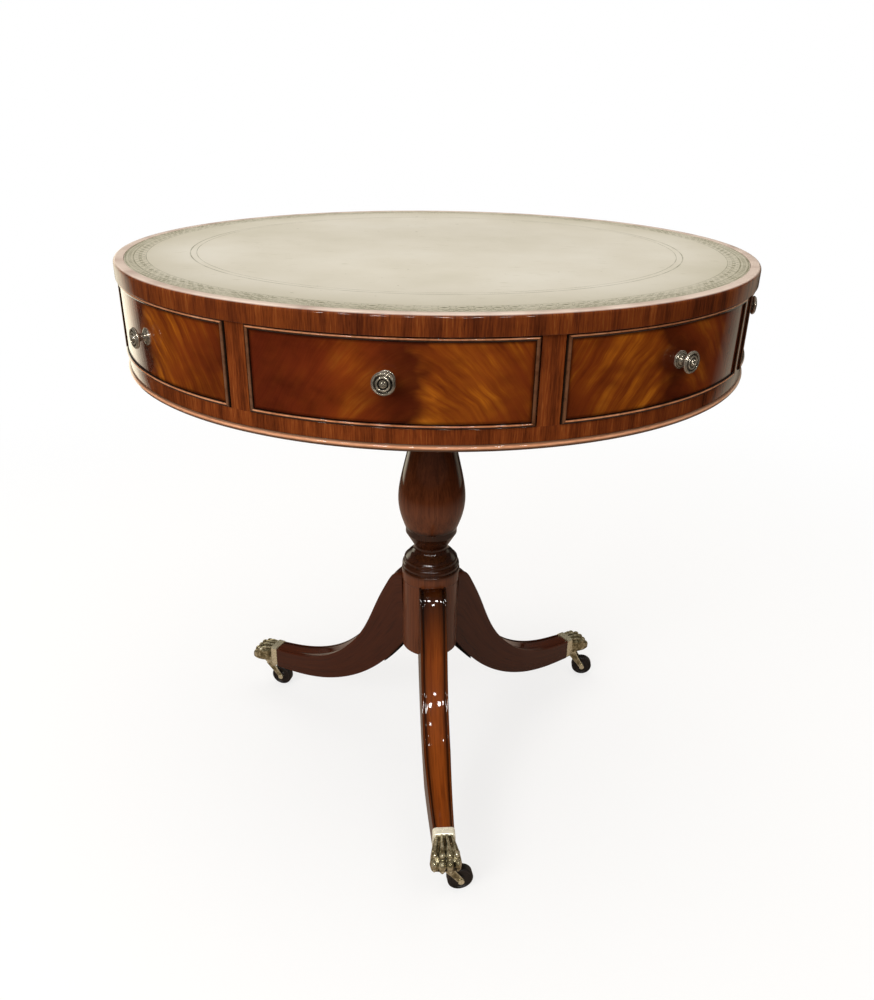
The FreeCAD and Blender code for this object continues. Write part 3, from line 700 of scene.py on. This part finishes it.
paw = {"slots": (-1.5, -0.5, 0.5, 1.5), "bottom": 48.0, "voxel": 0.6, "smooth": 2,
       "collar": [(281.1, 14.1, 44.8, 81.2), (281.6, 14.7, 44.2, 81.8), (291.6, 14.6, 44.6, 81.5),
                  (292.4, 14.1, 45.4, 80.7)]}  # reach, half width, low and high


def ballPart(centre, radii, rings=18):  # ellipsoid on a grid of two angles
    a = np.linspace(-np.pi / 2, np.pi / 2, rings)
    points, faces, uv = turnedPart(np.stack([np.cos(a), np.sin(a)], 1), rings * 2)
    return points * np.array(radii) + np.array(centre), faces, uv


def rodPart(start, end, r0, r1, sides=20):  # tapered round rod with domed ends between two points
    start, end = np.array(start, float), np.array(end, float)
    axis = end - start
    length = np.linalg.norm(axis)
    a = np.linspace(-np.pi / 2, 0, 6)
    b = np.linspace(0, np.pi / 2, 6)
    domes = np.stack([r0 * np.cos(a), r0 * np.sin(a)], 1), np.stack([r1 * np.cos(b), length + r1 * np.sin(b)], 1)
    points, faces, uv = turnedPart(np.concatenate(domes), sides)
    w = axis / length
    u = np.cross(w, [1, 0, 0.01])
    u /= np.linalg.norm(u)
    return points @ np.stack([u, np.cross(w, u), w]) + start, faces, uv


def loftPart(sections, power, sides=48):  # superellipse sections of half width, low and high, joined along the reach
    a = np.linspace(0, 2 * np.pi, sides, endpoint=False)
    c, s = np.cos(a), np.sin(a)
    shape = np.stack([np.sign(c) * np.abs(c) ** (2 / power), np.sign(s) * np.abs(s) ** (2 / power)], -1)
    reach, half, foot, crown = np.array(sections, float).T
    middle = (foot + crown) / 2 + (crown - foot) / 2 * shape[:, 1:]
    points = np.stack(np.broadcast_arrays(half * shape[:, :1], -reach, middle), -1)
    uv = np.zeros((sides + 1, len(sections), 2))
    return capped(gridPart(points, uv, True, False), points, uv)


def pawCasting():  # a fist-like foot and four tendons running on over knuckles to the toes
    sole = paw["bottom"]
    parts = [loftPart([
        (289, 13.6, 46, 79), (293.6, 14.4, 46.6, 78.6), (294.6, 14.6, sole, 78.4), (302, 16.6, sole, 77),
        (311, 18.8, sole, 74.6), (318, 19.8, sole + 0.4, 71.4), (323, 19.4, sole + 2, 67),
        (326.5, 16.5, sole + 5, 61)], 3.4)]
    for slot in paw["slots"]:
        outer = abs(slot) > 1
        start = (slot * 6.2, -291.2, 79.4 - 1.0 * outer)
        rise = (slot * 7.9, -304.5, 78.0 - 2.2 * outer)
        knuckle = (slot * 9.4, -316.5 + 3.0 * outer, 72.0 - 2.4 * outer)
        toe = (slot * 9.9, -323.2 + 3.4 * outer, 60.5 - 0.6 * outer)
        tip = (slot * 10.0, -326.4 + 3.4 * outer, 56.4)
        parts += [rodPart(start, rise, 1.5, 2.1), rodPart(rise, knuckle, 2.1, 4.0), rodPart(knuckle, toe, 4.0, 5.6)]
        parts += [ballPart(knuckle, (4.2, 6.2, 4.9)), ballPart(toe, (5.3, 7.8, 8.2)), rodPart(toe, tip, 5.2, 4.3)]
        parts.append(rodPart((tip[0], tip[1] - 3.2, 57.0), (tip[0], tip[1] - 2.8, 54.6), 2.2, 1.8))  # claw
    parts.append(ballPart((0, -314.5, 54.6), (17, 10.5, 6.2)))
    return parts


def castTogether(parts, voxel, smooth):  # joins overlapping parts into one skin on a voxel grid, then relaxes it
    rough = bpy.data.objects.new("casting", meshFrom("casting", parts))
    bpy.context.collection.objects.link(rough)
    skin = rough.modifiers.new("skin", "REMESH")
    skin.mode = "VOXEL"
    skin.voxel_size = voxel / 1000
    relax = rough.modifiers.new("relax", "SMOOTH")
    relax.factor = 0.5
    relax.iterations = smooth
    bpy.context.view_layer.update()
    done = bpy.data.meshes.new_from_object(rough.evaluated_get(bpy.context.evaluated_depsgraph_get()))
    bpy.data.objects.remove(rough)
    points = np.empty(len(done.vertices) * 3)
    done.vertices.foreach_get("co", points)
    faces = [list(polygon.vertices) for polygon in done.polygons]
    bpy.data.meshes.remove(done)
    return points.reshape(-1, 3) * 1000, faces, np.zeros((sum(map(len, faces)), 2))


pawSkin = castTogether(pawCasting(), paw["voxel"], paw["smooth"])
collar = loftPart(paw["collar"], 7)
for name, turn in legTurns.items():
    addPiece(name + "Paw", [turnedAbout(pawSkin, turn)], brass, "pedestal", [name + "_paw"], 60)
    # the front collar takes the brass painted with its reflection, the others plain brass
    finish = litCollarBrass if name == "front" else brass
    addPiece(name + "PawCollar", [turnedAbout(collar, turn)], finish, "pedestal", [name + "_paw"])
print("paws made,", len(pawSkin[0]), "points each")

# casters: leaf-shaped horn arms under a round plate, dark wheel between them

caster = {"reach": 304.5, "plateTop": 47.7, "trail": 20.5, "wheel": 17.0, "half": 6.0, "pinTop": 57.0, "pin": 4.0,
          "armSteps": 24, "armSides": 20, "armOut": 8.0,
          "broad": ([0, 0.25, 0.6, 0.9, 1.0], [6.6, 5.6, 4.5, 4.2, 3.9]), "thick": ([0, 0.3, 1.0], [1.7, 1.6, 1.55])}


def hornParts():  # plate, pintle and two arms; an arm is a flat ellipse carried from the plate down to the axle
    roof, trail, axle, pin = caster["plateTop"], caster["trail"], caster["wheel"], caster["pin"]
    steps, sides = caster["armSteps"], caster["armSides"]
    plate = drawProfile([(0, roof - 4.5), (8.6, roof - 4.5), ((9.6, roof - 3.6), (9.8, roof - 2.4)), (9.8, roof - 0.6),
                         (9.2, roof), (0, roof)])
    pintle = drawProfile([(0, roof - 1), (pin, roof - 1), (pin, caster["pinTop"]), (0, caster["pinTop"])])
    parts = [turnedPart(plate, 48), turnedPart(pintle, 24)]
    path = cubicThrough([(1.0, roof - 2.5), (5.5, roof - 9.5), (12.6, roof - 19.5), (trail, axle)], steps)
    way = np.gradient(path, axis=0)
    way /= np.linalg.norm(way, axis=1, keepdims=True)
    s = np.linspace(0, 1, steps)
    broad, thick = np.interp(s, *caster["broad"]), np.interp(s, *caster["thick"])
    a = np.linspace(0, 2 * np.pi, sides, endpoint=False)
    c, d = np.cos(a), np.sin(a)
    ring = np.stack([np.sign(c) * np.abs(c) ** 0.55, np.sign(d) * np.abs(d) ** 0.8], -1)
    normal = np.stack([-way[:, 1], way[:, 0]], -1)
    boss = turnedPart(drawProfile([(0, -1.5), (3.7, -1.5), (3.95, -1.2), (3.95, 1.2), (3.7, 1.5), (0, 1.5)]), 32)
    for out in (-caster["armOut"], caster["armOut"]):
        rz = path[None] + ring[:, 1][:, None, None] * broad[None, :, None] * normal[None]
        points = np.stack([out + ring[:, :1] * thick, -rz[..., 0], rz[..., 1]], -1)
        uv = np.zeros((sides + 1, steps, 2))
        parts.append(capped(gridPart(points, uv, True, False), points, uv))
        parts.append(shifted(laidAlongX(boss), out, -trail, axle))
    return parts


def wheelPart():  # tread with eased shoulders, sunk web and raised hub
    h, w = caster["half"], caster["wheel"]
    loop = drawProfile([
        (3.05, -h), (5.5, -h), (6.3, -h + 1.2), (w - 4.1, -h + 1.2), (w - 3.1, -h), (w - 1.7, -h),
        ((w - 0.5, -h + 0.6), (w, -h + 2)), (w, h - 2), ((w - 0.5, h - 0.6), (w - 1.7, h)),
        (w - 3.1, h), (w - 4.1, h - 1.2), (6.3, h - 1.2), (5.5, h), (3.05, h)])
    return shifted(laidAlongX(turnedPart(easeCorners(loop, 0.4, True), 72, True)), 0, -caster["trail"], w)


hornBlank, wheelBlank = hornParts(), wheelPart()
for name, turn in legTurns.items():
    a = math.radians(turn)
    spot = (caster["reach"] * math.sin(a), -caster["reach"] * math.cos(a), 0)
    horn = [shifted(turnedAbout(part, trailTurns[name]), *spot) for part in hornBlank]
    wheel = shifted(turnedAbout(wheelBlank, trailTurns[name]), *spot)
    addPiece(name + "CasterHorn", horn, brass, name + "_caster", [name + "_caster_horn"])
    addPiece(name + "CasterWheel", [wheel], wheelBlack, name + "_wheel", [name + "_caster_wheel"])
print("casters made")

# solids that keep their own mesh

keptFinish = {"top_board": oakAlongX, "baseboard": oakAlongX, "divider_boards": oakAlongY,
              "spindle": steel, "spindle_washer": steel, "spindle_nut": steel, "strap_screws": steel,
              "thrust_ring": brass, "pivot_bush": brass, "tripod_strap": iron}
for name in drawerTurns:
    alongDrawer, acrossDrawer = (oakAlongY, oakAlongX) if name in ("front", "back") else (oakAlongX, oakAlongY)
    keptFinish[name + "_drawer_box"], keptFinish[name + "_drawer_bottom"] = alongDrawer, acrossDrawer
for name in legTurns:
    keptFinish[name + "_caster_axle"] = brass
for node, finish in keptFinish.items():
    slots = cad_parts[node].data.materials
    slots.clear()
    slots.append(finish)
print("kept solids finished")

# floor, light and camera

studio = {"floor": "#f6f5f2", "half": 30, "far": (0.6, 2.0), "glowNear": 0.72, "bounce": "#a89c92",
          "polishNear": "#a39386", "polishFar": "#0c0a09", "polishFade": (0.55, 1.6),
          "ambient": 0.37, "ambientColour": "#fff4e6", "polishAmbient": 0.07}
half = studio["half"]
floorMesh = bpy.data.meshes.new("floor")
floorMesh.from_pydata([(-half, -half, 0), (half, -half, 0), (half, half, 0), (-half, half, 0)], [], [(0, 1, 2, 3)])
floor = bpy.data.objects.new("floor", floorMesh)
bpy.context.collection.objects.link(floor)
# white paper sweep: matt and softly shaded near the table, glowing white far off, and dim where polish mirrors it
floorFinish, tree, shader = newMaterial("paperSweep", {
    "Base Color": hexLinear(studio["floor"]), "Roughness": 0.9, "Specular IOR Level": 0.1})
floorMesh.materials.append(floorFinish)
distance = addNode(tree, "VectorMath", addNode(tree, "TexCoord").node.outputs["Object"], operation="LENGTH")
fade = addNode(tree, "MapRange", distance, *studio["far"], studio["glowNear"], interpolation_type="SMOOTHSTEP")
glow = addNode(tree, "Emission", (1, 1, 1, 1), 1.0)
lit = addNode(tree, "MixShader", fade, shader.outputs[0], glow)
reach = addNode(tree, "MapRange", distance, *studio["polishFade"])
dimmed = addNode(tree, "Mix", reach, hexLinear(studio["polishNear"]), hexLinear(studio["polishFar"]), **blend)
bounce = addNode(tree, "BsdfDiffuse", hexLinear(studio["bounce"]))
polish = addNode(tree, "BsdfDiffuse", dimmed)
rays = addNode(tree, "LightPath").node.outputs
unseen = addNode(tree, "MixShader", rays["Is Glossy Ray"], bounce, polish)
seen = addNode(tree, "MixShader", rays["Is Camera Ray"], unseen, lit)
tree.links.new(seen, tree.nodes["Material Output"].inputs["Surface"])

world = bpy.data.worlds.new("studio")
bpy.context.scene.world = world
world.use_nodes = True
sky = world.node_tree
sky.nodes.clear()
rays = addNode(sky, "LightPath").node.outputs
white = addNode(sky, "Background", (1, 1, 1, 1), 1.0)
ambient = addNode(sky, "Background", hexLinear(studio["ambientColour"]), studio["ambient"])
dusk = addNode(sky, "Background", hexLinear(studio["ambientColour"]), studio["polishAmbient"])
around = addNode(sky, "MixShader", rays["Is Glossy Ray"], ambient, dusk)
addNode(sky, "OutputWorld", addNode(sky, "MixShader", rays["Is Camera Ray"], around, white))
bpy.context.scene.view_settings.view_transform = "Standard"


def placedAt(place, side, lift, way):  # looks along way, with side to its right
    return Matrix([[side[k], lift[k], -way[k], place[k]] for k in range(3)] + [[0, 0, 0, 1]])


def softbox(name, place, target, size, power, mirrored=True, lights=True, colour="#ffffff"):
    # a light panel, kept out of the polish or seen in the polish alone
    light = bpy.data.lights.new(name, "AREA")
    light.shape = "RECTANGLE"
    light.size, light.size_y = size
    light.energy = power
    light.color = hexLinear(colour)[:3]
    obj = bpy.data.objects.new(name, light)
    bpy.context.collection.objects.link(obj)
    way = np.array(target, float) - np.array(place, float)
    way /= np.linalg.norm(way)
    side = np.cross(way, [0, 0, 1.0])
    side /= np.linalg.norm(side)
    obj.matrix_world = placedAt(place, side, np.cross(side, way), way)
    obj.visible_camera = False
    obj.visible_glossy = mirrored
    obj.visible_diffuse = lights


lights = {
    "room": [("ceilingPanel", (0.0, 0.2, 3.2), (0, 0.21, 0), (5.0, 5.0), 106),  # place, target, size and watts
             ("frontFill", (-0.1, -2.8, 1.7), (0, 0, 0.5), (2.0, 1.6), 26),
             ("keyFrontLeft", (-1.8, -2.4, 2.1), (0, 0, 0.6), (1.2, 1.2), 42)],
    "windows": [("windowLeft", (-1.33, 0.94, 0.5), (-0.3, -0.2, 0.6), 1.2),  # watts for a metre of width
                ("windowRight", (1.25, 1.05, 0.5), (0.3, -0.2, 0.6), 0.264)],
    "windowLayers": 5, "windowWide": 0.36, "windowStep": 0.15, "windowHigh": 0.9, "windowColour": "#f6efd6",
    "lampSize": 0.15, "lampWatts": 5, "lamps": [(-1.5 + 0.48 * k, -2.5, 2.0) for k in range(8)],
    "nearLampSize": 0.07, "nearLampWatts": 1.2,
    "nearLamps": [(0.25, -1.9, 2.3), (-0.35, -1.3, 2.7), (0.9, -1.2, 2.6), (-0.4, -2.6, 1.5), (0.7, -2.6, 1.55),
                  (-0.9, -1.7, 2.5), (0.45, -2.3, 1.8)]}
for row in lights["room"]:
    softbox(*row, mirrored=False)
for k in range(lights["windowLayers"]):  # a window at each side, only seen in the polish; its layers give a soft edge
    wide = lights["windowWide"] + lights["windowStep"] * k
    for name, (x, y, z), target, power in lights["windows"]:
        softbox(name + str(k), (x, y - 0.01 * k, z), target, (wide, lights["windowHigh"]), power * wide, lights=False,
                colour=lights["windowColour"])
for k, place in enumerate(lights["lamps"]):  # a row of small ceiling lamps, seen as dots in the polish
    softbox("lamp" + str(k), place, (0, 0, 0.5), (lights["lampSize"],) * 2, lights["lampWatts"], lights=False)
for k, place in enumerate(lights["nearLamps"]):
    size, power = (lights["nearLampSize"],) * 2, lights["nearLampWatts"]
    softbox("nearLamp" + str(k), place, (0, 0, 0.4), size, power, lights=False)

view = {"place": (0.12237, -1.08951, 0.92073), "right": (0.99155, 0.12939, 0.00943), "up": (-0.06419, 0.42613, 0.90238),
        "ahead": (-0.11273, 0.89536, -0.43084), "sensor": 36.0, "focalPixels": 856.10, "longSide": 1000,
        "offCentre": (15.76, 10.3)}  # pixels; the photograph is cropped a little off centre
lens = bpy.data.cameras.new("photoCamera")
lens.sensor_width = view["sensor"]
lens.lens = view["sensor"] * view["focalPixels"] / view["longSide"]
lens.shift_x, lens.shift_y = (d / view["longSide"] for d in view["offCentre"])
camera = bpy.data.objects.new("photoCamera", lens)
bpy.context.collection.objects.link(camera)
camera.matrix_world = placedAt(view["place"], view["right"], view["up"], view["ahead"])
bpy.context.scene.camera = camera
print("studio set")
